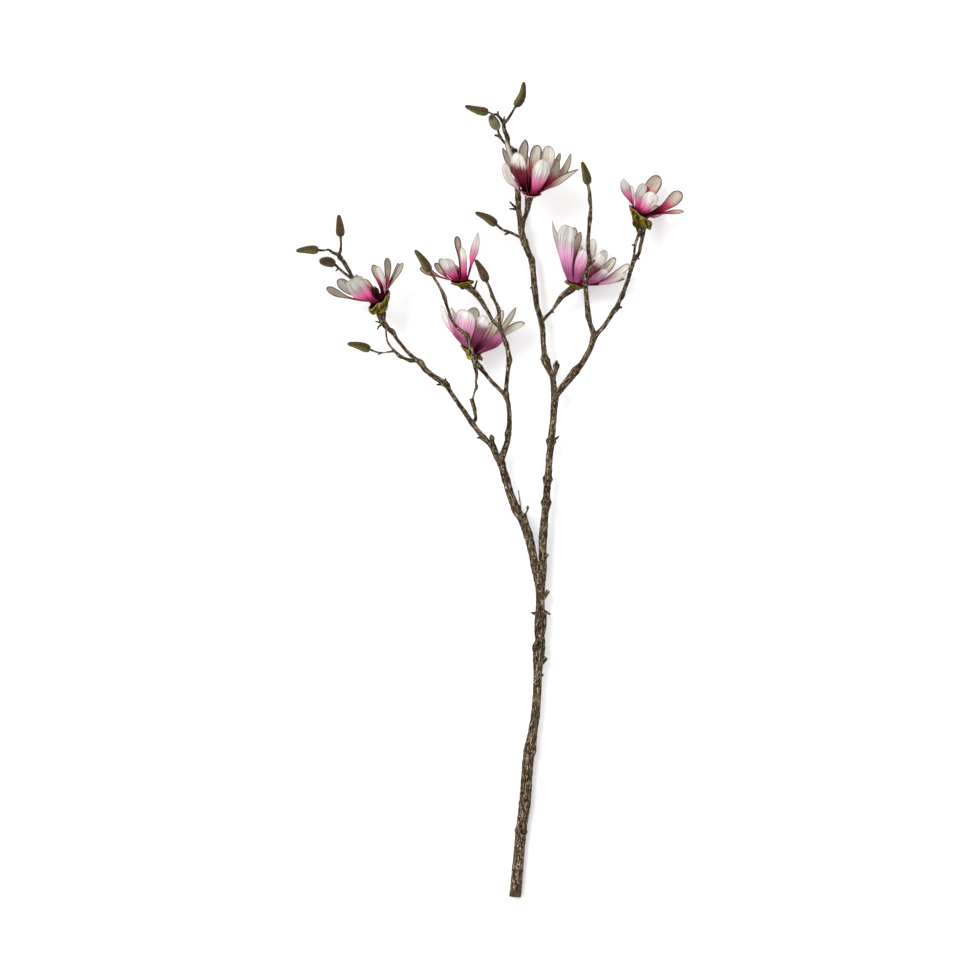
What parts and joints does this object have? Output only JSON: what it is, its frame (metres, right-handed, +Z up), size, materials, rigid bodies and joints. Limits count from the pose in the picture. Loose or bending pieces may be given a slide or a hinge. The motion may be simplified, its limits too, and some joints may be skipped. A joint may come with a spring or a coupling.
{
  "type": "magnolia branch",
  "caption": "Cut magnolia branch lying on a surface: a forked woody stem with open spoon-petalled pink and white blooms, olive calyxes, furry closed buds and short spurs.",
  "frame": {"origin": "on the surface that the branch lies on, under the middle of its bounding box", "axes": "+Y along the branch from its cut end towards its tips, +Z up from the surface, +X to the right seen from above"},
  "size_m": [0.5237, 1.1031, 0.1304],
  "materials": {
    "bark": "rough dark brown bark with pale flecks",
    "tepal": "soft matte petal, deep pink at the foot and white at the tip",
    "scale": "matte mottled olive bud scale",
    "stamen": "matte dark red-brown",
    "fur": "velvety olive-brown down"
  },
  "bodies": {
    "root": {"branch": "bark", "bloom_1": "tepal", "bloom_2": "tepal", "bloom_3": "tepal", "bloom_4": "tepal", "bloom_5": "tepal", "bloom_6": "tepal", "calyx_1": "scale", "calyx_2": "scale", "calyx_3": "scale", "calyx_4": "scale", "calyx_5": "scale", "calyx_6": "scale", "stamens_1": "stamen", "stamens_2": "stamen", "stamens_3": "stamen", "stamens_4": "stamen", "stamens_5": "stamen", "stamens_6": "stamen", "bud_1": "fur", "bud_2": "fur", "bud_3": "fur", "bud_4": "fur", "bud_5": "fur", "bud_6": "fur", "bud_7": "fur", "bud_8": "fur", "bud_9": "fur", "bud_10": "fur", "bud_11": "fur"}
  },
  "joints": []
}
